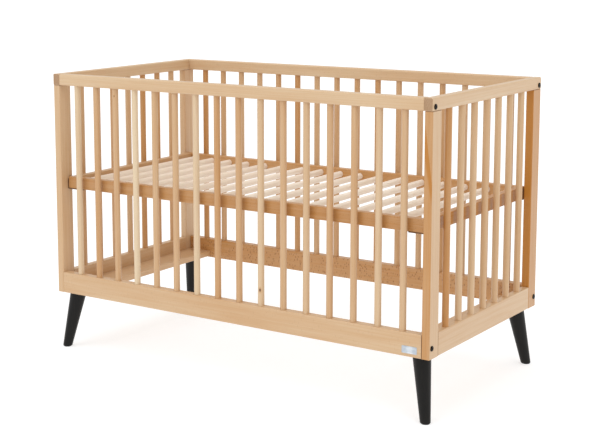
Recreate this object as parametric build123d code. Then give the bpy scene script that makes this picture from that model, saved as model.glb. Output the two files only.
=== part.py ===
from build123d import *

import os
from math import sqrt

# Baby cot with two end panels, two long sides, a slatted mattress base and four splayed legs.
# Millimetres. X runs along the cot, Y across it (the front is -Y) and Z is up.
# The origin is on the floor, under the middle of the cot.

# ---------------------------------------------------------------- driving sizes
inner_length = 1204.0        # between the two end top rails: a 1200 mattress and 4 to spare
inner_width = 604.0          # between the two long sides: a 600 mattress and 4 to spare
panel_height = 661.0         # underside of the bottom rails to the top of the top rails
leg_height = 172.0           # floor to the underside of the bottom rails

end_top_rail_thickness = 24.3
long_rail_thickness = 27.2
top_rail_height = 33.0
bottom_rail_height = 62.0
top_arris = 4.0              # rounding on the top edges of the top rails
rail_arris = 2.4             # rounding on every other long edge
end_arris = 0.8              # bevel on the ends that butt against a post or a rail

post_thickness = 22.5        # along X
post_width = 48.5            # along Y
post_setback = 0.9           # front face of a post behind the end of its top rail
post_top_bevel = 1.2         # bevel round a post's top, a fine dark line under the rail

spindle_diameter = 18.0
socket_depth = 12.0
socket_gap = 0.08            # radial room in every glued socket
socket_bottom_gap = 0.8
long_spindles = 16
long_end_gap = 51.4          # post to the first spindle on a long side
end_spindles = 7
end_end_gap = 50.5           # post to the first spindle on an end panel

leg_board_width = 82.0       # along X, inwards from the posts
leg_board_thickness = 18.0
leg_board_rise = 4.0         # underside of the board above the underside of the rails
leg_board_gap = 0.3

leg_top_radius = 24.4
leg_foot_radius = 13.6
leg_inset_x = 43.3           # outer face of the end panel to the leg's axis at its top
leg_inset_y = 44.2           # outer face of the long side to the leg's axis at its top
leg_splay = 27.0             # how far the foot stands out from the top, along X and along Y
foot_rounding = 2.6
glide_radius = 11.0
glide_thickness = 1.6
glide_rounding = 0.6
leg_spacer_radius = 16.0
leg_bolt_radius = 4.0
leg_bolt_depth = 42.0        # into the leg, along its axis
leg_insert_wall = 2.2
leg_bolt_drop = 1.0          # tip of the bolt below the top of the board

frame_bolt_radius = 3.0
frame_bolt_reach = 42.0      # into the long rail
frame_bolt_head_radius = 7.2
frame_bolt_head_height = 2.6
frame_bolt_crown = 1.95      # rounding of the head
frame_bolt_key = 4.0         # across the flats of the hexagon socket
frame_bolt_socket_depth = 1.6
top_bolt_rise = 10.5         # bolt axis above the underside of the top rail
bottom_bolt_rise = 28.0      # bolt axis above the underside of the bottom rail
barrel_nut_radius = 5.0
barrel_nut_length = 14.0
barrel_nut_setback = 30.0    # from the end of the long rail to the nut's axis

dowel_radius = 4.0
dowel_half_length = 15.0
short_dowel_depth = 13.5     # into the thin face of a post or an end rail
dowel_end_gap = 0.6
top_dowel_drop = 9.0         # dowel axis below the top of the top rail
bottom_dowel_drop = 14.0     # dowel axis below the top of the bottom rail
post_dowel_insets = (8.0, 22.5)   # from the inner edge of a post
end_rail_dowel_low = 13.0    # above the underside of an end bottom rail
end_rail_dowel_drop = 8.0    # below its top
board_dowel_spacing = 173.0

base_top_rise = 351.0        # top of the mattress base above the underside of the panels
base_rail_height = 35.0
base_rail_thickness = 22.0
base_side_clearance = 2.0    # to the long sides
base_bracket_gap = 0.4       # between an end of the base and the upright of its bracket
base_bars = 17
base_bar_diameter = 18.5
base_bar_end_gap = 6.85      # end rail to the first bar
base_bar_socket = 14.0

bracket_sheet = 2.5
bracket_reach = 58.0         # along X, under the long rail of the base
bracket_width = 19.0         # along Y
bracket_rise = 30.0          # upright leg, between the base and the post
bracket_post_gap = 0.4
bracket_corner = 5.0
bracket_bend = 3.0           # outside of the bend
lock_bolt_radius = 3.0
lock_bolt_head_radius = 5.6
height_insert_radius = 5.0
height_insert_length = 14.0
lowest_setting_gap = 0.3     # bracket above the leg board in the lowest setting
bracket_screw_radius = 1.9
bracket_screw_head_radius = 3.6
bracket_screw_head_height = 1.7   # countersunk into the sheet
bracket_screw_length = 20.0
bracket_screw_insets = (22.0, 48.0)   # from the bracket's post face
bracket_screw_edge = 4.8     # from the bracket's outer edge
lock_bolt_head_height = 3.0
lock_bolt_pocket_depth = 9.0
lock_bolt_pocket_gap = 0.6
base_dowel_drop = 9.0        # dowel axis below the top of the base
base_dowel_reach = 13.6      # into the base's long rail

plate_length = 43.0
plate_height = 19.0
plate_thickness = 1.0
plate_corner = 2.0
plate_end_inset = 11.8       # from the end of the long rail
plate_rise = 9.2             # above the underside of the rail

# ---------------------------------------------------------------- places that follow from them
half_inner_x = inner_length / 2
half_inner_y = inner_width / 2
outer_x = half_inner_x + end_top_rail_thickness
outer_y = half_inner_y + long_rail_thickness
post_inner_x = outer_x - post_thickness
post_outer_y = outer_y - post_setback
post_inner_y = post_outer_y - post_width
underside = leg_height
top = underside + panel_height
top_rail_under = top - top_rail_height
bottom_rail_top = underside + bottom_rail_height
long_mid_y = outer_y - long_rail_thickness / 2
end_mid_x = outer_x - post_thickness / 2
board_under = underside + leg_board_rise
board_top = board_under + leg_board_thickness
bracket_face_x = post_inner_x - bracket_post_gap
base_half_x = bracket_face_x - bracket_sheet - base_bracket_gap
base_half_y = half_inner_y - base_side_clearance
base_top = underside + base_top_rise
base_under = base_top - base_rail_height
base_mid_z = base_top - base_rail_height / 2
base_inner_x = base_half_x - base_rail_thickness
base_inner_y = base_half_y - base_rail_thickness
bracket_mid_y = base_half_y - bracket_width / 2
lock_bolt_z = base_under + bracket_rise / 2
base_drop = base_under - bracket_sheet - lowest_setting_gap - board_top
past = 1.0                   # how far a cut runs past the face that it opens
SIDES = {"left": -1, "right": 1}
FACES = {"front": -1, "rear": 1}

os.makedirs("parts", exist_ok=True)


# ---------------------------------------------------------------- shapes used by several pieces
def block(xs, ys, zs):
    """A box between two limits along each axis, in either order."""
    middle = Pos(sum(xs) / 2, sum(ys) / 2, sum(zs) / 2)
    return middle * Box(abs(xs[1] - xs[0]), abs(ys[1] - ys[0]), abs(zs[1] - zs[0]))


def rod(start, end, radius):
    """A round bar from one point to another."""
    start, end = Vector(*start), Vector(*end)
    along = end - start
    place = Plane(origin=start, z_dir=along)
    return place * Cylinder(radius, along.length, align=(Align.CENTER, Align.CENTER, Align.MIN))


def rail(xs, ys, zs, axis, top_radius=rail_arris):
    """A planed rail: long edges rounded, the two ends lightly bevelled."""
    shape = block(xs, ys, zs)
    long_edges = shape.edges().filter_by(axis)
    shape = fillet(long_edges.group_by(Axis.Z)[-1], top_radius)
    lower = shape.edges().filter_by(axis).group_by(Axis.Z)[0]
    shape = fillet(lower, rail_arris)
    ends = shape.faces().sort_by(axis)
    return chamfer(ends[0].edges() + ends[-1].edges(), end_arris)


def bore(shape, start, end, radius):
    """Drills a hole from one point to another."""
    return shape - rod(start, end, radius)


def write(name, shapes):
    """Writes one node, of one solid or of several separate ones."""
    shapes = shapes if isinstance(shapes, list) else [shapes]
    solids = [solid for shape in shapes for solid in shape.solids()]
    body = solids[0] if len(solids) == 1 else Compound(children=solids)
    body.label = name
    export_step(body, f"parts/{name}.step")


def row(count, half_span, end_gap, diameter):
    """Centres of equally spaced bars between two faces."""
    first = half_span - end_gap - diameter / 2
    return [-first + 2 * first * i / (count - 1) for i in range(count)]


# ---------------------------------------------------------------- spindles
long_places = row(long_spindles, post_inner_x, long_end_gap, spindle_diameter)
end_places = row(end_spindles, post_inner_y, end_end_gap, spindle_diameter)
spindle_low = bottom_rail_top - socket_depth
spindle_high = top_rail_under + socket_depth
spindle_radius = spindle_diameter / 2


def spindles_at(points):
    """Turned spindles standing at the given points of one panel."""
    return [
        rod(
            (x, y, spindle_low + socket_bottom_gap),
            (x, y, spindle_high - socket_bottom_gap),
            spindle_radius,
        )
        for x, y in points
    ]


def with_sockets(shape, points, low, high):
    """Drills one spindle socket at each point."""
    for x, y in points:
        shape = bore(shape, (x, y, low), (x, y, high), spindle_radius + socket_gap)
    return shape


# ---------------------------------------------------------------- joint places
# Each end of a long rail has one bolt and one locating dowel: height of the bolt, height of
# the dowel, and how far out along X the rail's end face is.
long_joints = {
    "top": (top_rail_under + top_bolt_rise, top - top_dowel_drop, half_inner_x),
    "bottom": (underside + bottom_bolt_rise, bottom_rail_top - bottom_dowel_drop, post_inner_x),
}
post_dowel_ys = [post_inner_y + inset for inset in post_dowel_insets]
end_rail_dowel_zs = (underside + end_rail_dowel_low, bottom_rail_top - end_rail_dowel_drop)
board_dowel_ys = (-board_dowel_spacing, 0.0, board_dowel_spacing)
board_mid_z = (board_under + board_top) / 2
dowel_hole = dowel_radius + socket_gap
dowel_hole_depth = dowel_half_length + dowel_end_gap
bolt_hole = frame_bolt_radius + socket_gap

# ---------------------------------------------------------------- long sides
frame_bolts = []
barrel_nuts = []
long_dowels = []
for face, fy in FACES.items():
    y_out, y_in, y_mid = fy * outer_y, fy * half_inner_y, fy * long_mid_y
    spots = [(x, y_mid) for x in long_places]
    limits = {"top": (top_rail_under, top, top_arris), "bottom": (underside, bottom_rail_top, rail_arris)}
    for level, (low, high, arris) in limits.items():
        bolt_z, dowel_z, end_x = long_joints[level]
        shape = rail((-end_x, end_x), (y_in, y_out), (low, high), Axis.X, arris)
        if level == "top":
            shape = with_sockets(shape, spots, low - past, low + socket_depth)
        else:
            shape = with_sockets(shape, spots, high - socket_depth, high + past)
        for sx in SIDES.values():
            tip = end_x - frame_bolt_reach
            nut_x = sx * (end_x - barrel_nut_setback)
            nut_top = bolt_z + barrel_nut_length / 2
            nut_low = bolt_z - barrel_nut_length / 2
            bolt_line = ((sx * (tip - past), y_mid, bolt_z), (sx * (end_x + past), y_mid, bolt_z))
            nut_line = ((nut_x, y_mid, low - past), (nut_x, y_mid, nut_top))
            shape = bore(shape, *bolt_line, bolt_hole)
            shape = bore(shape, *nut_line, barrel_nut_radius + socket_gap)
            shape = bore(
                shape,
                (sx * (end_x - dowel_hole_depth), y_mid, dowel_z),
                (sx * (end_x + past), y_mid, dowel_z),
                dowel_hole,
            )
            nut = rod((nut_x, y_mid, nut_low), (nut_x, y_mid, nut_top), barrel_nut_radius)
            reach = barrel_nut_radius + past
            nut = bore(nut, (nut_x - reach, y_mid, bolt_z), (nut_x + reach, y_mid, bolt_z), bolt_hole)
            barrel_nuts.append(nut)
            shank = rod((sx * tip, y_mid, bolt_z), (sx * outer_x, y_mid, bolt_z), frame_bolt_radius)
            head = rod(
                (sx * outer_x, y_mid, bolt_z),
                (sx * (outer_x + frame_bolt_head_height), y_mid, bolt_z),
                frame_bolt_head_radius,
            )
            crown = head.faces().sort_by(Axis.X)[-1 if sx > 0 else 0]
            head = fillet(crown.edges(), frame_bolt_crown)
            socket_floor = Plane(
                origin=(sx * (outer_x + frame_bolt_head_height - frame_bolt_socket_depth), y_mid, bolt_z),
                z_dir=(sx, 0, 0),
            )
            hexagon = socket_floor * RegularPolygon(frame_bolt_key / 2, 6, major_radius=False)
            key = extrude(hexagon, amount=frame_bolt_socket_depth + past)
            frame_bolts.append(shank + head - key)
            long_dowels.append(
                rod(
                    (sx * (end_x - dowel_half_length), y_mid, dowel_z),
                    (sx * (end_x + short_dowel_depth), y_mid, dowel_z),
                    dowel_radius,
                )
            )
        write(f"{face}_{level}_rail", shape)
    write(f"{face}_spindles", spindles_at(spots))

# ---------------------------------------------------------------- end panels
panel_dowels = []
board_dowels = []
height_inserts = []
for side, sx in SIDES.items():
    x_out, x_in, x_mid = sx * outer_x, sx * post_inner_x, sx * end_mid_x
    spots = [(x_mid, y) for y in end_places]
    top_rail = rail((x_out, sx * half_inner_x), (-outer_y, outer_y), (top_rail_under, top), Axis.Y, top_arris)
    top_rail = with_sockets(top_rail, spots, top_rail_under - past, spindle_high)
    bottom_rail = rail((x_out, x_in), (-post_inner_y, post_inner_y), (underside, bottom_rail_top), Axis.Y)
    bottom_rail = with_sockets(bottom_rail, spots, spindle_low, bottom_rail_top + past)
    for face, fy in FACES.items():
        y_mid = fy * long_mid_y
        post = block((x_out, x_in), (fy * post_inner_y, fy * post_outer_y), (underside, top_rail_under))
        post = fillet(post.edges().filter_by(Axis.Z), rail_arris)
        post = chamfer(post.faces().sort_by(Axis.Z)[-1].edges(), post_top_bevel)
        for level, target in (("top", "rail"), ("bottom", "post")):
            bolt_z, dowel_z, end_x = long_joints[level]
            bolt_line = ((sx * (end_x - past), y_mid, bolt_z), (sx * (outer_x + past), y_mid, bolt_z))
            dowel_line = (
                (sx * (end_x - past), y_mid, dowel_z),
                (sx * (end_x + short_dowel_depth + dowel_end_gap), y_mid, dowel_z),
            )
            if target == "rail":
                top_rail = bore(bore(top_rail, *bolt_line, bolt_hole), *dowel_line, dowel_hole)
            else:
                post = bore(bore(post, *bolt_line, bolt_hole), *dowel_line, dowel_hole)
        for y in post_dowel_ys:
            low = (x_mid, fy * y, top_rail_under - dowel_hole_depth)
            high = (x_mid, fy * y, top_rail_under + dowel_hole_depth)
            post = bore(post, low, high, dowel_hole)
            top_rail = bore(top_rail, low, high, dowel_hole)
            panel_dowels.append(
                rod(
                    (x_mid, fy * y, top_rail_under - dowel_half_length),
                    (x_mid, fy * y, top_rail_under + dowel_half_length),
                    dowel_radius,
                )
            )
        for z in end_rail_dowel_zs:
            near = (x_mid, fy * (post_inner_y - dowel_hole_depth), z)
            far = (x_mid, fy * (post_inner_y + dowel_hole_depth), z)
            post = bore(post, near, far, dowel_hole)
            bottom_rail = bore(bottom_rail, near, far, dowel_hole)
            panel_dowels.append(
                rod(
                    (x_mid, fy * (post_inner_y - dowel_half_length), z),
                    (x_mid, fy * (post_inner_y + dowel_half_length), z),
                    dowel_radius,
                )
            )
        insert_line = (
            (x_in, fy * bracket_mid_y, lock_bolt_z),
            (sx * (post_inner_x + height_insert_length), fy * bracket_mid_y, lock_bolt_z),
        )
        post = bore(post, *insert_line, height_insert_radius + socket_gap)
        insert = rod(*insert_line, height_insert_radius)
        height_inserts.append(bore(insert, *insert_line, lock_bolt_radius))
        write(f"post_{face}_{side}", post)
    for y in board_dowel_ys:
        start = sx * (post_inner_x - leg_board_gap - dowel_hole_depth)
        finish = sx * (post_inner_x + short_dowel_depth + dowel_end_gap)
        bottom_rail = bore(bottom_rail, (start, y, board_mid_z), (finish, y, board_mid_z), dowel_hole)
        board_dowels.append(
            rod(
                (sx * (post_inner_x - dowel_half_length), y, board_mid_z),
                (sx * (post_inner_x + short_dowel_depth), y, board_mid_z),
                dowel_radius,
            )
        )
    write(f"end_top_rail_{side}", top_rail)
    write(f"end_bottom_rail_{side}", bottom_rail)
    write(f"end_spindles_{side}", spindles_at(spots))

write("frame_bolts", frame_bolts)
write("barrel_nuts", barrel_nuts)
write("long_side_dowels", long_dowels)
write("end_panel_dowels", panel_dowels)
write("leg_board_dowels", board_dowels)
write("height_inserts", height_inserts)

# ---------------------------------------------------------------- legs and leg boards
leg_top_x = outer_x - leg_inset_x
leg_top_y = outer_y - leg_inset_y
leg_axis_length = sqrt(leg_height**2 + 2 * leg_splay**2)
leg_taper = (leg_top_radius - leg_foot_radius) / leg_axis_length
leg_spare = 30.0             # extra length at both ends, trimmed off level
leg_bolts = []
leg_inserts = []
leg_spacers = []


def leg_line(sx, fy, z):
    """The point of a leg's axis at a height above the floor."""
    out = leg_splay * (underside - z) / leg_height
    return (sx * (leg_top_x + out), fy * (leg_top_y + out), z)


for side, sx in SIDES.items():
    board = block(
        (sx * (post_inner_x - leg_board_gap), sx * (post_inner_x - leg_board_width)),
        (-(half_inner_y - leg_board_gap), half_inner_y - leg_board_gap),
        (board_under, board_top),
    )
    inner_face = board.faces().sort_by(Axis.X)[0 if sx > 0 else -1]
    board = fillet(inner_face.edges().filter_by(Axis.Y), rail_arris)
    for y in board_dowel_ys:
        start = sx * (post_inner_x - leg_board_gap - dowel_hole_depth)
        board = bore(board, (start, y, board_mid_z), (sx * outer_x, y, board_mid_z), dowel_hole)
    for face, fy in FACES.items():
        foot = Vector(*leg_line(sx, fy, 0.0))
        head = Vector(*leg_line(sx, fy, underside))
        along = (head - foot).normalized()
        place = Plane(origin=foot - along * leg_spare, z_dir=along)
        turned = place * Cone(
            leg_foot_radius - leg_taper * leg_spare,
            leg_top_radius + leg_taper * leg_spare,
            leg_axis_length + 2 * leg_spare,
            align=(Align.CENTER, Align.CENTER, Align.MIN),
        )
        room = 3 * leg_top_radius
        keep = block(
            (foot.X - room, foot.X + room), (foot.Y - room, foot.Y + room), (glide_thickness, underside)
        )
        leg = turned & keep
        leg = fillet(leg.faces().sort_by(Axis.Z)[0].edges(), foot_rounding)
        bolt_low = leg_line(sx, fy, underside - leg_bolt_depth)
        leg = bore(leg, bolt_low, leg_line(sx, fy, underside + leg_spare), leg_bolt_radius + socket_gap)
        write(f"leg_{face}_{side}", leg)

        glide = rod((foot.X, foot.Y, 0), (foot.X, foot.Y, glide_thickness), glide_radius)
        glide = fillet(glide.faces().sort_by(Axis.Z)[0].edges(), glide_rounding)
        write(f"foot_glide_{face}_{side}", glide)

        bolt = rod(bolt_low, leg_line(sx, fy, board_top + leg_spare), leg_bolt_radius)
        bolt_top = board_top - leg_bolt_drop
        around = ((head.X - room, head.X + room), (head.Y - room, head.Y + room))
        leg_bolts.append(bolt & block(*around, (0, bolt_top)))

        centre = leg_line(sx, fy, (underside + board_under) / 2)
        spacer = rod((*centre[:2], underside), (*centre[:2], board_under), leg_spacer_radius)
        hole_line = (leg_line(sx, fy, underside - leg_spare), leg_line(sx, fy, board_top + leg_spare))
        leg_spacers.append(bore(spacer, *hole_line, leg_bolt_radius + socket_gap))

        insert_radius = leg_bolt_radius + leg_insert_wall
        board = bore(board, *hole_line, insert_radius + socket_gap)
        insert = rod(*hole_line, insert_radius)
        insert = insert & block(*around, (board_under, board_top))
        leg_inserts.append(bore(insert, *hole_line, leg_bolt_radius + socket_gap))
    write(f"leg_board_{side}", board)

write("leg_bolts", leg_bolts)
write("leg_spacers", leg_spacers)
write("leg_inserts", leg_inserts)

# ---------------------------------------------------------------- mattress base
bar_places = row(base_bars, base_inner_x, base_bar_end_gap, base_bar_diameter)
bar_radius = base_bar_diameter / 2
base_dowel_z = base_top - base_dowel_drop
base_dowels = []
bracket_screws = []
lock_bolts = []


def countersink(x, y, z, gap):
    """The tapered head of a bracket screw, or with a gap the seat that it lies in."""
    return Pos(x, y, z) * Cone(
        bracket_screw_head_radius + gap,
        bracket_screw_radius + gap,
        bracket_screw_head_height,
        align=(Align.CENTER, Align.CENTER, Align.MIN),
    )


base_long = {
    face: rail(
        (-base_half_x, base_half_x),
        (fy * base_inner_y, fy * base_half_y),
        (base_under, base_top),
        Axis.X,
    )
    for face, fy in FACES.items()
}
for face, fy in FACES.items():
    for x in bar_places:
        base_long[face] = bore(
            base_long[face],
            (x, fy * (base_inner_y - past), base_mid_z),
            (x, fy * (base_inner_y + base_bar_socket), base_mid_z),
            bar_radius + socket_gap,
        )
bar_end = base_inner_y + base_bar_socket - socket_bottom_gap
write("base_bars", [rod((x, -bar_end, base_mid_z), (x, bar_end, base_mid_z), bar_radius) for x in bar_places])

for side, sx in SIDES.items():
    end_rail = rail(
        (sx * base_half_x, sx * base_inner_x), (-base_inner_y, base_inner_y), (base_under, base_top), Axis.Y
    )
    x_mid = sx * (base_half_x - base_rail_thickness / 2)
    for face, fy in FACES.items():
        near = (x_mid, fy * (base_inner_y - dowel_hole_depth), base_dowel_z)
        far = (x_mid, fy * (base_inner_y + base_dowel_reach + dowel_end_gap), base_dowel_z)
        end_rail = bore(end_rail, near, far, dowel_hole)
        base_long[face] = bore(base_long[face], near, far, dowel_hole)
        base_dowels.append(
            rod(
                (x_mid, fy * (base_inner_y - dowel_half_length), base_dowel_z),
                (x_mid, fy * (base_inner_y + base_dowel_reach), base_dowel_z),
                dowel_radius,
            )
        )

        # Angle bracket: a foot under the long rail, an upright between the rail's end and the post.
        y_mid = fy * bracket_mid_y
        y_limits = (y_mid - bracket_width / 2, y_mid + bracket_width / 2)
        inner_tip = bracket_face_x - bracket_reach
        foot = block(
            (sx * bracket_face_x, sx * inner_tip), y_limits, (base_under - bracket_sheet, base_under)
        )
        tip_face = foot.faces().sort_by(Axis.X)[0 if sx > 0 else -1]
        foot = fillet(tip_face.edges().filter_by(Axis.Z), bracket_corner)
        upright = block(
            (sx * bracket_face_x, sx * (bracket_face_x - bracket_sheet)),
            y_limits,
            (base_under - bracket_sheet, base_under + bracket_rise),
        )
        upright = fillet(
            upright.faces().sort_by(Axis.Z)[-1].edges().filter_by(Axis.X), bracket_corner
        )
        bracket = foot + upright
        lowest_edges = bracket.edges().filter_by(Axis.Y).group_by(Axis.Z)[0]
        bracket = fillet(lowest_edges.sort_by(Axis.X)[-1 if sx > 0 else 0], bracket_bend)
        bracket = bore(
            bracket,
            (sx * (bracket_face_x - bracket_sheet - past), y_mid, lock_bolt_z),
            (sx * (bracket_face_x + past), y_mid, lock_bolt_z),
            lock_bolt_radius + socket_gap,
        )
        screw_y = fy * (base_half_y - bracket_screw_edge)
        sheet_under = base_under - bracket_sheet
        for inset in bracket_screw_insets:
            x = sx * (bracket_face_x - inset)
            shank_line = ((x, screw_y, sheet_under), (x, screw_y, base_under + bracket_screw_length))
            pilot_line = ((x, screw_y, base_under), (x, screw_y, shank_line[1][2] + dowel_end_gap))
            bracket = bore(bracket, *shank_line, bracket_screw_radius + socket_gap)
            bracket -= countersink(x, screw_y, sheet_under, socket_gap)
            base_long[face] = bore(base_long[face], *pilot_line, bracket_screw_radius + socket_gap)
            screw_head = countersink(x, screw_y, sheet_under, 0.0)
            bracket_screws.append(rod(*shank_line, bracket_screw_radius) + screw_head)
        write(f"base_bracket_{face}_{side}", bracket)

        # Locking bolt: its flat head sits in a pocket in the rail's end, its shank ends at the bracket.
        head_face = bracket_face_x - bracket_sheet
        pocket_end = base_half_x - lock_bolt_pocket_depth
        base_long[face] = bore(
            base_long[face],
            (sx * pocket_end, y_mid, lock_bolt_z),
            (sx * (base_half_x + past), y_mid, lock_bolt_z),
            lock_bolt_head_radius + lock_bolt_pocket_gap,
        )
        lock_head = rod(
            (sx * (head_face - lock_bolt_head_height), y_mid, lock_bolt_z),
            (sx * head_face, y_mid, lock_bolt_z),
            lock_bolt_head_radius,
        )
        lock_shank = rod(
            (sx * head_face, y_mid, lock_bolt_z),
            (sx * bracket_face_x, y_mid, lock_bolt_z),
            lock_bolt_radius,
        )
        lock_bolts.append(lock_head + lock_shank)
    write(f"base_end_rail_{side}", end_rail)

for face, shape in base_long.items():
    write(f"base_long_rail_{face}", shape)
write("base_dowels", base_dowels)
write("bracket_screws", bracket_screws)
write("base_lock_bolts", lock_bolts)

# ---------------------------------------------------------------- blank name plate
plate_x = post_inner_x - plate_end_inset - plate_length / 2
plate_z = underside + plate_rise + plate_height / 2
plate = Pos(plate_x, -(outer_y + plate_thickness / 2), plate_z) * Box(
    plate_length, plate_thickness, plate_height
)
plate = fillet(plate.edges().filter_by(Axis.Y), plate_corner)
write("name_plate", plate)

print("overall", 2 * (outer_x + frame_bolt_head_height), 2 * outer_y, top, "base drop", base_drop)
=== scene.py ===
from math import cos, pi, radians, sin
from random import Random

import bmesh
import bpy
from mathutils import Matrix, Vector


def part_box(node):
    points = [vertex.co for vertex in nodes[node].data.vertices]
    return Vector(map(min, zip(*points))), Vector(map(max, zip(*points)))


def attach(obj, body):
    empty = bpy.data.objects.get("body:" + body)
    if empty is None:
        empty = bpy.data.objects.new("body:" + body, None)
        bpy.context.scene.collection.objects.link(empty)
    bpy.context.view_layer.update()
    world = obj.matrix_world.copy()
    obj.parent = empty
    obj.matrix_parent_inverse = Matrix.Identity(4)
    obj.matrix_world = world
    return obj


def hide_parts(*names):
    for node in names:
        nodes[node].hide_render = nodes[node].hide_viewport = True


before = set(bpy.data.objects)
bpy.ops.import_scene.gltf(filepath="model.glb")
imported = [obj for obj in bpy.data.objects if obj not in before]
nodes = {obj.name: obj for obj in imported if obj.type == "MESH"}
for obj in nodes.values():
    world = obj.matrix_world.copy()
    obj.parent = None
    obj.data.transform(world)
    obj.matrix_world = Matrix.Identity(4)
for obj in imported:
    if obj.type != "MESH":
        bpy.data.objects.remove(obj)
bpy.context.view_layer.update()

eye = Vector((2.1563, -3.3083, 1.1941))
heading = 0.6228             # radians from +Y towards -X
tilt = 0.1456                # radians below level
roll = -0.0059
ahead = Vector((-sin(heading) * cos(tilt), cos(heading) * cos(tilt), -sin(tilt)))
level_right = Vector((cos(heading), sin(heading), 0))
level_up = level_right.cross(ahead)
right = level_right * cos(roll) + level_up * sin(roll)
up = right.cross(ahead)
lens = bpy.data.cameras.new("camera")
lens.sensor_width = 36.0
lens.lens = 82.1
lens.shift_x = 0.1167
lens.shift_y = -0.12
lens.clip_end = 200
camera = bpy.data.objects.new("camera", lens)
camera.matrix_world = Matrix.Translation(eye) @ Matrix((right, up, -ahead)).transposed().to_4x4()
bpy.context.scene.collection.objects.link(camera)
bpy.context.scene.camera = camera
bpy.context.scene.view_settings.view_transform = "Standard"

# ------------------------------------------------------------------ studio
# A white floor, an even room of warm white and three wide soft lamps: one high in front of the long
# side and a little to its left, one off the right-hand end panel, and a stronger one overhead.
floor_reach = 60.0
floor_mesh = bmesh.new()
bmesh.ops.create_grid(floor_mesh, x_segments=2, y_segments=2, size=floor_reach)
floor_data = bpy.data.meshes.new("floor")
floor_mesh.to_mesh(floor_data)
floor_mesh.free()
floor = bpy.data.objects.new("floor", floor_data)
bpy.context.scene.collection.objects.link(floor)
floor_paint = bpy.data.materials.new("studio_floor")
floor_paint.use_nodes = True
floor_shader = floor_paint.node_tree.nodes["Principled BSDF"]
floor_shader.inputs["Base Color"].default_value = (0.5, 0.5, 0.5, 1)
floor_shader.inputs["Roughness"].default_value = 0.9
floor_shader.inputs["Specular IOR Level"].default_value = 0.1
floor_shader.inputs["Emission Color"].default_value = (1, 1, 1, 1)
floor_shader.inputs["Emission Strength"].default_value = 0.58
floor_data.materials.append(floor_paint)

room = bpy.data.worlds.new("room")
room.use_nodes = True
room.node_tree.nodes["Background"].inputs["Color"].default_value = (1.0, 0.965, 0.905, 1)
room.node_tree.nodes["Background"].inputs["Strength"].default_value = 0.74
bpy.context.scene.world = room


def studio_lamp(name, toward, strength, softness):
    """A very large soft lamp far away, a little cooler than the room, shining from the direction given."""
    data = bpy.data.lights.new(name, "SUN")
    data.energy = strength
    data.color = (0.94, 1.0, 1.12)
    data.angle = radians(softness)
    lamp = bpy.data.objects.new(name, data)
    lamp.rotation_euler = Vector(toward).to_track_quat("Z", "Y").to_euler()
    bpy.context.scene.collection.objects.link(lamp)


studio_lamp("front_lamp", (-0.4, -1.0, 1.2), 0.58, 40)
studio_lamp("side_lamp", (1.0, -0.6, 1.0), 0.47, 40)
studio_lamp("top_lamp", (0.0, 0.0, 1.0), 0.8, 60)

# ------------------------------------------------------------------ long sides
# Steamed beech, planed, sanded and sealed with a clear satin lacquer. Each side has a light upper
# rail and a deep lower rail, from one board each, bolted and dowelled between the end panels.
# Growth rings run about a pith beside each piece, and cut ends show them.
pale_beech = (219, 198, 166)
deep_beech = (182, 121, 48)
fleck_beech = (124, 72, 34)
# The joint colour below is a painted shadow in the gaps at the joints, partly a dark glue line.
glue_and_shadow_beech = (122, 76, 46)
knot_beech = (88, 48, 24)
knot_squeeze = 0.6                        # a knot is longer along the grain
knot_halo = 2.6                           # how far the darker wood round a knot reaches, in its size
knot_rags = 0.5                           # how ragged its edge is, in its size
glue_and_shadow_depth = 0.65                         # how far a joint's line darkens the wood
end_grain = (0.72, 0.66, 0.63, 1)         # what a cut end multiplies the colour by
end_pores = (0.5, 0.44, 0.41, 1)
ring_width = 0.0029
ring_wander = 0.022                       # how far a ring strays from a circle
ring_drift = 4                            # how many rings the growth runs ahead or behind
ring_radius = 0.09                        # a common distance from the pith
ray_flake = (0.0042, 0.0012, 0.017)       # along the grain, round the rings, out from the pith
ring_tone = 0.13                          # what rings, clouds and fine streaks add to the tone
cloud_tone = 0.69
streak_tone = 0.38
nearest_pith = 0.035                      # from the middle of a turned bar
pith_spread = 0.05


def paint(red, green, blue):
    """A colour from its three 8-bit values, as the shader needs it."""
    shares = [value / 255 for value in (red, green, blue)]
    linear = [share / 12.92 if share <= 0.04045 else ((share + 0.055) / 1.055) ** 2.4 for share in shares]
    return linear + [1.0]


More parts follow.
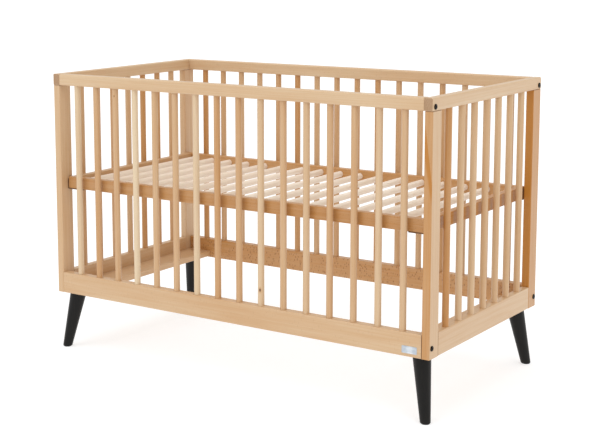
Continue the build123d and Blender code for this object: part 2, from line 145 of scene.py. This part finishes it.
class Wire:
    """A socket in a finish's nodes. Sums on it add Math nodes, and add() makes any other node."""

    def __init__(self, tree, socket=None):
        self.tree = tree
        self.socket = socket

    def add(self, kind, settings=None, inputs=None, output=0):
        """A new node's output. A ramp's settings hold its stops, as places and grey levels."""
        node = self.tree.nodes.new(kind)
        for name, value in (settings or {}).items():
            if name != "stops":
                setattr(node, name, value)
                continue
            node.color_ramp.interpolation = "CONSTANT"
            stops = node.color_ramp.elements
            while len(stops) < len(value):
                stops.new(1.0)
            for stop, (position, level) in zip(stops, value):
                stop.position = position
                stop.color = (level, level, level, 1)
        for name, value in (inputs or {}).items():
            if isinstance(value, Wire):
                self.tree.links.new(value.socket, node.inputs[name])
            else:
                node.inputs[name].default_value = value
        return Wire(self.tree, node.outputs[output])

    def maths(self, operation, first, second):
        return self.add("ShaderNodeMath", {"operation": operation}, {0: first, 1: second})

    def alone(self, operation):
        return self.add("ShaderNodeMath", {"operation": operation}, {0: self})

    def __add__(self, other):
        return self.maths("ADD", self, other)

    def __radd__(self, other):
        return self.maths("ADD", other, self)

    def __sub__(self, other):
        return self.maths("SUBTRACT", self, other)

    def __rsub__(self, other):
        return self.maths("SUBTRACT", other, self)

    def __mul__(self, other):
        return self.maths("MULTIPLY", self, other)

    def __rmul__(self, other):
        return self.maths("MULTIPLY", other, self)

    def __truediv__(self, other):
        return self.maths("DIVIDE", self, other)

    def __pow__(self, other):
        return self.maths("POWER", self, other)

    def rise(self, low, high):
        """0 below low and 1 above high, with a smooth step between."""
        shape = {"interpolation_type": "SMOOTHSTEP"}
        return self.add("ShaderNodeMapRange", shape, {"Value": self, "From Min": low, "From Max": high})

    def mix(self, first, second, blend="MIX"):
        """first where this wire is 0, second laid over it where this wire is 1."""
        settings = {"data_type": "RGBA", "blend_type": blend}
        return self.add("ShaderNodeMix", settings, {0: self, 6: first, 7: second}, 2)

    def point(self, x, y, z):
        return self.add("ShaderNodeCombineXYZ", None, {0: x, 1: y, 2: z})

    def split(self):
        first = self.add("ShaderNodeSeparateXYZ", None, {0: self})
        return [Wire(self.tree, socket) for socket in first.socket.node.outputs]

    def noise(self, scale, detail, roughness=0.5):
        look = {"Vector": self, "Scale": scale, "Detail": detail, "Roughness": roughness}
        return self.add("ShaderNodeTexNoise", None, look)

    def bump(self, strength, distance):
        look = {"Strength": strength, "Distance": distance, "Height": self}
        return self.add("ShaderNodeBump", None, look)


def finish_named(name):
    """A new material, the wire that its nodes are added with, and the place on the piece."""
    material = bpy.data.materials.new(name)
    material.use_nodes = True
    material.node_tree.nodes.clear()
    start = Wire(material.node_tree)
    return material, start, start.add("ShaderNodeTexCoord", None, None, "Object")


def close_finish(start, **inputs):
    """Ends a finish with its shader and the material output."""
    named = {name.replace("_", " "): value for name, value in inputs.items()}
    shader = start.add("ShaderNodeBsdfPrincipled", None, named)
    output = start.tree.nodes.new("ShaderNodeOutputMaterial")
    start.tree.links.new(shader.socket, output.inputs["Surface"])


def give(node, material):
    """Puts a finish on a CAD node."""
    for holder in nodes[node].material_slots:
        holder.material = material


def beech(node, along, tone, pith, flecks=0.25, figure=0.5, row=None, knots=(), streak=None, glue_and_shadow_lines=(),
          lacquer=0.4, flake=ray_flake, fleck_edge=(0.12, 0.34), colours=(pale_beech, deep_beech)):
    """Beech for one node. The grain runs along the named axis, tone goes from pale at 0 to deep at 1,
    and pith is how far the tree's middle lies from the piece along the two other axes. row gives
    a group of bars its axis, first place, pitch and one tone each. knots are centres and sizes,
    streak adds a local tone, and glue_and_shadow_lines are the axis, plane and width of each joint's
    dark line, partly glue and partly painted shadow. flake is the size of a ray fleck's cell, and
    fleck_edge is where in its cell a fleck fades out."""
    chance = Random(node)
    material, start, place = finish_named(node + "_beech")
    facing = start.add("ShaderNodeTexCoord", None, None, "Normal")
    low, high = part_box(node)
    middle = (low + high) / 2
    x, y, z = place.split()
    axes = {"X": x, "Y": y, "Z": z}
    across = [axis for axis in "XYZ" if axis != along]
    length = axes[along] + chance.uniform(2, 8)
    sides = [axes[axis] - middle["XYZ".index(axis)] for axis in across]
    level = tone
    if row:
        row_axis, first, pitch, tones = row
        cell = ((axes[row_axis] - first) / pitch + 0.5).alone("FLOOR")
        seed = {"W": cell + chance.random()}
        draw = start.add("ShaderNodeTexWhiteNoise", {"noise_dimensions": "1D"}, seed, "Color")
        turn, depth, slip = draw.split()
        reach = depth * pith_spread + nearest_pith
        sides[across.index(row_axis)] = axes[row_axis] - first - cell * pitch
        sides[0] = sides[0] + (turn * (2 * pi)).alone("COSINE") * reach
        sides[1] = sides[1] + (turn * (2 * pi)).alone("SINE") * reach
        length = length + slip * 3
        stops = [(i / len(tones), value) for i, value in enumerate(tones)]
        level = start.add("ShaderNodeValToRGB", {"stops": stops}, {"Fac": (cell + 0.5) / len(tones)})
    else:
        sides = [side + offset for side, offset in zip(sides, pith)]

    def grain(waves_along, waves_across, detail, roughness=0.5):
        """Noise about 0, drawn out along the grain. Its waves are counted per metre."""
        stretched = start.point(length * waves_along, sides[0] * waves_across, sides[1] * waves_across)
        return stretched.noise(1.0, detail, roughness) - 0.5

    wander = grain(1.3, 5, 2.0)
    streaks = grain(5, 190, 3.0, 0.6)
    clouds = grain(2.2, 14, 2.0)
    radius = (sides[0] * sides[0] + sides[1] * sides[1]) ** 0.5 + wander * (ring_wander * figure)
    around = start.maths("ARCTAN2", sides[1], sides[0]) * ring_radius
    year = radius / ring_width + start.point(radius * 70, 0, 0).noise(1.0, 2.0) * ring_drift
    late_wood = ((year * (2 * pi)).alone("SINE") * 0.5 + 0.5) ** 3

    cells = {"Vector": start.point(length / flake[0], around / flake[1], radius / flake[2]), "Scale": 1.0}
    ray = start.add("ShaderNodeTexVoronoi", None, cells, "Distance")
    draw = start.add("ShaderNodeTexVoronoi", None, cells, "Color").split()[0]
    ray = (1 - ray.rise(*fleck_edge)) * draw.rise(0.25, 0.9)

    shade = level + clouds * (cloud_tone * figure) + streaks * streak_tone
    shade = shade + (late_wood - 0.3) * (ring_tone * figure)
    if streak:
        shade = shade + streak(x, y, z, wander)
    colour = shade.mix(paint(*colours[0]), paint(*colours[1]))
    colour = (ray * flecks).mix(colour, paint(*fleck_beech))
    for centre, size in knots:
        away = start.point(x - centre[0], y - centre[1], (z - centre[2]) * knot_squeeze)
        away = start.add("ShaderNodeVectorMath", {"operation": "LENGTH"}, {0: away}, "Value")
        rags = start.point(x * 400, y * 400, z * 160).noise(1.0, 2.0) - 0.5
        away = away + rags * (size * knot_rags)
        colour = ((1 - away.rise(size, size * knot_halo)) * 0.4).mix(colour, paint(*deep_beech))
        colour = (1 - away.rise(size * 0.6, size * 1.2)).mix(colour, paint(*knot_beech))
    # Each joint's dark line: partly a glue line, partly painted shadow in the gap.
    for axis, plane, width in glue_and_shadow_lines:
        off = (axes[axis] - plane).alone("ABSOLUTE")
        colour = ((1 - off.rise(width / 2, width)) * glue_and_shadow_depth).mix(colour, paint(*glue_and_shadow_beech))
    cut = facing.split()["XYZ".index(along)].alone("ABSOLUTE").rise(0.75, 0.95)
    pores = start.point(x * 1500, y * 1500, z * 1500).noise(1.0, 2.0)
    end_colour = (pores.rise(0.35, 0.7) * 0.4 + late_wood * 0.6).mix(end_grain, end_pores)
    close_finish(
        start,
        Base_Color=cut.mix(colour, end_colour, "MULTIPLY"),
        Roughness=0.4 + streaks * 0.12 + cut * 0.22 + ray * 0.06,
        Normal=(streaks * 0.5 + ray * -0.8 + pores * (cut * 0.6)).bump(0.25, 0.0003),
        Specular_IOR_Level=0.25,
        Coat_Weight=lacquer,
        Coat_Roughness=0.24,
    )
    give(node, material)


def end_glue_and_shadow_lines(node, axis, width=0.0008):
    """The dark lines at the two ends of a rail: glue lines, and painted shadow in the gap at each joint.
    """
    return [(axis, corner["XYZ".index(axis)], width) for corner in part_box(node)]


beech("front_top_rail", "X", 0.36, (0.07, 0.035), 0.16, 0.5, glue_and_shadow_lines=end_glue_and_shadow_lines("front_top_rail", "X"))
beech("front_bottom_rail", "X", 0.45, (0.02, 0.11), 0.14, 0.7, glue_and_shadow_lines=end_glue_and_shadow_lines("front_bottom_rail", "X"))
beech("rear_top_rail", "X", 0.39, (0.03, 0.09), 0.2, 0.7, glue_and_shadow_lines=end_glue_and_shadow_lines("rear_top_rail", "X"))
# The lower rear rail's deep tone is partly painted shade, low inside the cot.
beech("rear_bottom_rail", "X", 0.78, (0.0, 0.12), 0.95, 0.4, glue_and_shadow_lines=end_glue_and_shadow_lines("rear_bottom_rail", "X"),
      flake=(0.0036, 0.03, 0.0095), fleck_edge=(0.2, 0.42))

# ------------------------------------------------------------------ end panels
# The same lacquered beech. An end panel's upper rail runs the full depth of the cot over both posts
# and shows end grain at the front and back, and its lower rail is dowelled between the posts.
beech("end_top_rail_left", "Y", 0.4, (0.06, 0.05), 0.2, 0.5)
beech("end_top_rail_right", "Y", 0.38, (0.08, 0.03), 0.14, 0.45)
beech("end_bottom_rail_left", "Y", 0.46, (0.05, 0.07), 0.2, 0.6,
      glue_and_shadow_lines=end_glue_and_shadow_lines("end_bottom_rail_left", "Y"))
beech("end_bottom_rail_right", "Y", 0.4, (0.11, 0.02), 0.14, 0.5,
      glue_and_shadow_lines=end_glue_and_shadow_lines("end_bottom_rail_right", "Y"))
post_low, post_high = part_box("post_front_right")
streak_top = 0.782                        # of the streak's upper edge on the post's left arris
streak_slope = 0.165                      # its fall across the post
streak_low_top = 0.673                    # the same of its lower edge
streak_low_slope = 0.117


def heart_streak(x, y, z, wander):
    """A darker tongue of heartwood that leans across the front face of the right-hand front post."""
    front = 1 - y.rise(post_low.y + 0.0005, post_low.y + 0.002)
    share = (x - post_low.x) / (post_high.x - post_low.x) + wander * 0.3
    below = share - (streak_top - z) / streak_slope
    above = share - (streak_low_top - z) / streak_low_slope
    return front * 0.37 + (1 - below.rise(-0.04, 0.02)) * above.rise(-0.04, 0.5) * front * 0.45


def darker_inner_face(x, y, z, wander):
    """Darkens the inner front face of the right-hand rear post by a fixed amount."""
    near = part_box("post_rear_right")[0].y
    return (1 - y.rise(near + 0.001, near + 0.003)) * 0.26


# A dark line along the top of each post under the upper end rail: partly glue, partly painted shadow.
glue_and_shadow_under_rail = [("Z", post_high.z, 0.0022)]
beech("post_front_left", "Z", 0.45, (0.05, 0.06), 0.16, 0.6, glue_and_shadow_lines=glue_and_shadow_under_rail)
beech("post_front_right", "Z", 0.42, (0.06, 0.05), 0.16, 0.5, glue_and_shadow_lines=glue_and_shadow_under_rail, streak=heart_streak)
beech("post_rear_left", "Z", 0.46, (0.09, 0.02), 0.2, 0.8, glue_and_shadow_lines=glue_and_shadow_under_rail)
beech("post_rear_right", "Z", 0.78, (0.03, 0.08), 0.2, 0.5, glue_and_shadow_lines=glue_and_shadow_under_rail, streak=darker_inner_face)

# ------------------------------------------------------------------ spindles
# Round beech bars, lacquered like the rails and glued into them at both ends. They are turned from
# many different sticks, so each has its own tone, and two at the front have a small knot. The rows at
# the back and at both ends are made deeper as painted shade, most of all the first bar at the right.
front_tones = (0.19, 0.63, 0.54, 0.02, 0.5, 0.51, 0.19, 0.69, 0.58, 0.32, 0.55, 0.42, 0.58, 0.53,
               0.33, 0.46)
# The back and end rows' deeper tones are partly painted shade.
rear_tones_and_shade = (0.85, 0.6, 0.5, 0.55, 0.66, 0.76, 0.5, 0.6, 0.7, 0.76, 0.55, 0.5, 0.66, 0.46, 0.7, 0.6)
left_tones_and_shade = (0.56, 0.72, 0.62, 0.5, 0.8, 0.72, 0.62)
right_tones_and_shade = (0.84, 0.44, 0.42, 0.5, 0.43, 0.44, 0.47)


def spindle_row(node, axis, tones):
    """Axis, first centre, pitch and tones of a row of upright spindles, from their box."""
    low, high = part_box(node)
    run = "XYZ".index(axis)
    side = 1 - run
    radius = (high[side] - low[side]) / 2
    first = low[run] + radius
    return axis, first, (high[run] - radius - first) / (len(tones) - 1), tones


front_row = spindle_row("front_spindles", "X", front_tones)
front_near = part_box("front_spindles")[0].y
front_knots = [
    ((front_row[1] + front_row[2] * 9 + 0.002, front_near, 0.279), 0.0028),
    ((front_row[1] + front_row[2] * 2 + 0.003, front_near, 0.779), 0.0014),
]
beech("front_spindles", "Z", 0.5, None, 0.15, 0.5, row=front_row, knots=front_knots)
for node, axis, tones in (
    ("rear_spindles", "X", rear_tones_and_shade),
    ("end_spindles_left", "Y", left_tones_and_shade),
    ("end_spindles_right", "Y", right_tones_and_shade),
):
    beech(node, "Z", 0.5, None, 0.15, 0.5, row=spindle_row(node, axis, tones))

# ------------------------------------------------------------------ mattress base
# A beech frame of four planed rails, dowelled at the corners, with round bars let into it from front
# to back. The rails are darker beech, made deeper still as painted shade under the sides, and the bars
# are raw turned beech, paler and without lacquer.
# The base rails' deep tones are partly painted shade.
for face in ("front", "rear"):
    beech(f"base_long_rail_{face}", "X", 0.8, (0.03, 0.08), 0.3, 0.5)
beech("base_end_rail_left", "Y", 0.62, (0.04, 0.08), 0.25, 0.5)
beech("base_end_rail_right", "Y", 0.95, (0.04, 0.08), 0.25, 0.5)
raw_bar = (241, 229, 213)
raw_shade = (196, 160, 120)
bar_count = 17
palest_bar = 0.05
bar_tone_spread = 0.25
bar_tones = [palest_bar + bar_tone_spread * Random(i).random() for i in range(bar_count)]
# The bars lie flat, so their row starts at the fifth bar and steps by half their pitch. The nine bars
# in the middle get every second tone, and the four beyond them at either end repeat the outer one.
bar_row = spindle_row("base_bars", "X", bar_tones)
beech("base_bars", "Y", 0.1, None, 0.1, 0.3, row=bar_row, lacquer=0.0, colours=(raw_bar, raw_shade))

# ------------------------------------------------------------------ leg boards
# A flat board of the same lacquered beech lies inside each end at the bottom. It is dowelled to the
# end panel's lower rail, and the two legs of that end screw up into it.
beech("leg_board_left", "Y", 0.48, (0.05, 0.07), 0.2, 0.8)
beech("leg_board_right", "Y", 0.48, (0.06, 0.06), 0.2, 0.8)

# ------------------------------------------------------------------ dowels
# Raw beech dowels, hidden in the joints of the end panels, the long sides, the leg boards and the
# mattress base. They are glued in, and where the joint is also bolted they only locate it.
for node, axis in (
    ("base_dowels", "Y"),
    ("end_panel_dowels", "Z"),
    ("leg_board_dowels", "X"),
    ("long_side_dowels", "X"),
):
    beech(node, axis, 0.3, (0.02, 0.02), 0.1, 0.4, lacquer=0.0)

# ------------------------------------------------------------------ legs
# Turned, tapered beech legs, splayed outwards and screwed up into the leg boards. They are sprayed
# with a black satin lacquer that lets a little of the grain through.
black_lacquer, start, place = finish_named("black_lacquer")
x, y, z = place.split()
grain = start.point(x * 260, y * 260, z * 14).noise(1.0, 3.0, 0.6)
mottle = place.noise(900.0, 2.0)
sheen_patch = place.noise(24.0, 2.0)
close_finish(
    start,
    Base_Color=grain.rise(0.3, 0.75).mix(paint(10, 9, 8), paint(19, 17, 14)),
    Roughness=0.4 + (sheen_patch - 0.5) * 0.14 + (mottle - 0.5) * 0.1,
    Normal=(grain * 0.7 + mottle * 0.3).bump(0.18, 0.0002),
    Specular_IOR_Level=0.24,
)
for face in ("front", "rear"):
    for side in ("left", "right"):
        give(f"leg_{face}_{side}", black_lacquer)

# ------------------------------------------------------------------ foot glides
# Discs of hard black plastic under the feet, moulded with a fine grain and a rounded lower edge,
# and a little greyer where they have slid over a floor.
black_plastic, start, place = finish_named("black_plastic")
moulded = place.noise(2600.0, 2.0)
scuffs = place.noise(160.0, 4.0)
close_finish(
    start,
    Base_Color=scuffs.rise(0.5, 0.75).mix(paint(26, 26, 26), paint(48, 47, 45)),
    Roughness=0.5 + (scuffs - 0.5) * 0.3,
    Normal=moulded.bump(0.2, 0.0001),
)
for face in ("front", "rear"):
    for side in ("left", "right"):
        give(f"foot_glide_{face}_{side}", black_plastic)

# ------------------------------------------------------------------ bolts, brackets, nuts and inserts
# Blackened steel bolts with round heads, browned steel angles under the mattress base, bright zinc
# plate on the nuts, screws, hanger bolts and spacers in the joints, and brass on the inserts that are
# turned into the posts and leg boards.


def metal(name, dark, light, roughness, metallic=1.0):
    """A plated or blackened metal, a little cloudy and finely gritty."""
    material, start, place = finish_named(name)
    cloud = place.noise(90.0, 4.0)
    grit = place.noise(3200.0, 2.0)
    close_finish(
        start,
        Base_Color=cloud.rise(0.3, 0.7).mix(paint(*dark), paint(*light)),
        Roughness=roughness + (cloud - 0.5) * 0.2 + (grit - 0.5) * 0.1,
        Metallic=metallic,
        Normal=grit.bump(0.12, 0.0001),
    )
    return material


black_steel = metal("black_steel", (24, 20, 18), (40, 34, 31), 0.42)
browned_steel = metal("browned_steel", (104, 72, 46), (130, 94, 64), 0.5, 0.3)
zinc_plate = metal("zinc_plate", (168, 170, 174), (205, 206, 208), 0.3)
brass = metal("brass", (176, 138, 70), (214, 178, 104), 0.3)
for node in ("frame_bolts", "base_lock_bolts"):
    give(node, black_steel)
for face in ("front", "rear"):
    for side in ("left", "right"):
        give(f"base_bracket_{face}_{side}", browned_steel)
for node in ("barrel_nuts", "bracket_screws", "leg_bolts", "leg_spacers"):
    give(node, zinc_plate)
for node in ("height_inserts", "leg_inserts"):
    give(node, brass)

# ------------------------------------------------------------------ name plate
# A small blank plate of brushed aluminium with round corners, stamped so that a narrow rim
# stands round a lower field, and glued to the lower front rail.
plate_corner = 0.002
plate_edge = 0.00025
plate_rim = 0.0012
plate_slope = 0.0004
plate_sink = 0.0003
plate_low, plate_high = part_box("name_plate")
plate_size = plate_high - plate_low
plate_shape = bmesh.new()
bmesh.ops.create_cube(plate_shape, size=1.0)
bmesh.ops.scale(plate_shape, vec=plate_size, verts=plate_shape.verts)
bmesh.ops.translate(plate_shape, vec=(plate_low + plate_high) / 2, verts=plate_shape.verts)
through = []
for edge in plate_shape.edges:
    one, other = edge.verts
    if abs(one.co.y - other.co.y) > plate_size.y / 2:
        through.append(edge)
rounding = {"affect": "EDGES", "profile": 0.5, "material": -1}
bmesh.ops.bevel(plate_shape, geom=through, offset=plate_corner, segments=6, **rounding)
front = min(plate_shape.faces, key=lambda face: face.calc_center_median().y)
bmesh.ops.bevel(plate_shape, geom=list(front.edges), offset=plate_edge, segments=2, **rounding)
front = min(plate_shape.faces, key=lambda face: face.calc_center_median().y)
for width, depth in ((plate_rim, 0.0), (plate_slope, -plate_sink)):
    bmesh.ops.inset_region(plate_shape, faces=[front], thickness=width, depth=depth, use_even_offset=True)
plate_data = bpy.data.meshes.new("blank_plate")
plate_shape.to_mesh(plate_data)
plate_shape.free()
plate = bpy.data.objects.new("blank_plate", plate_data)
bpy.context.scene.collection.objects.link(plate)

brushed, start, place = finish_named("brushed_aluminium")
x, _, z = place.split()
brush = start.point(x * 60, 0, z * 9000).noise(1.0, 3.0)
glow = place.noise(60.0, 1.0)
cloudy = brush.rise(0.3, 0.7) * 0.5 + glow.rise(0.35, 0.65) * 0.5
close_finish(
    start,
    Base_Color=cloudy.mix(paint(166, 177, 188), paint(222, 227, 231)),
    Roughness=0.3 + (brush - 0.5) * 0.2,
    Metallic=0.9,
    Normal=brush.bump(0.15, 0.0001),
)
plate_data.materials.append(brushed)
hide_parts("name_plate")
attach(plate, "frame")
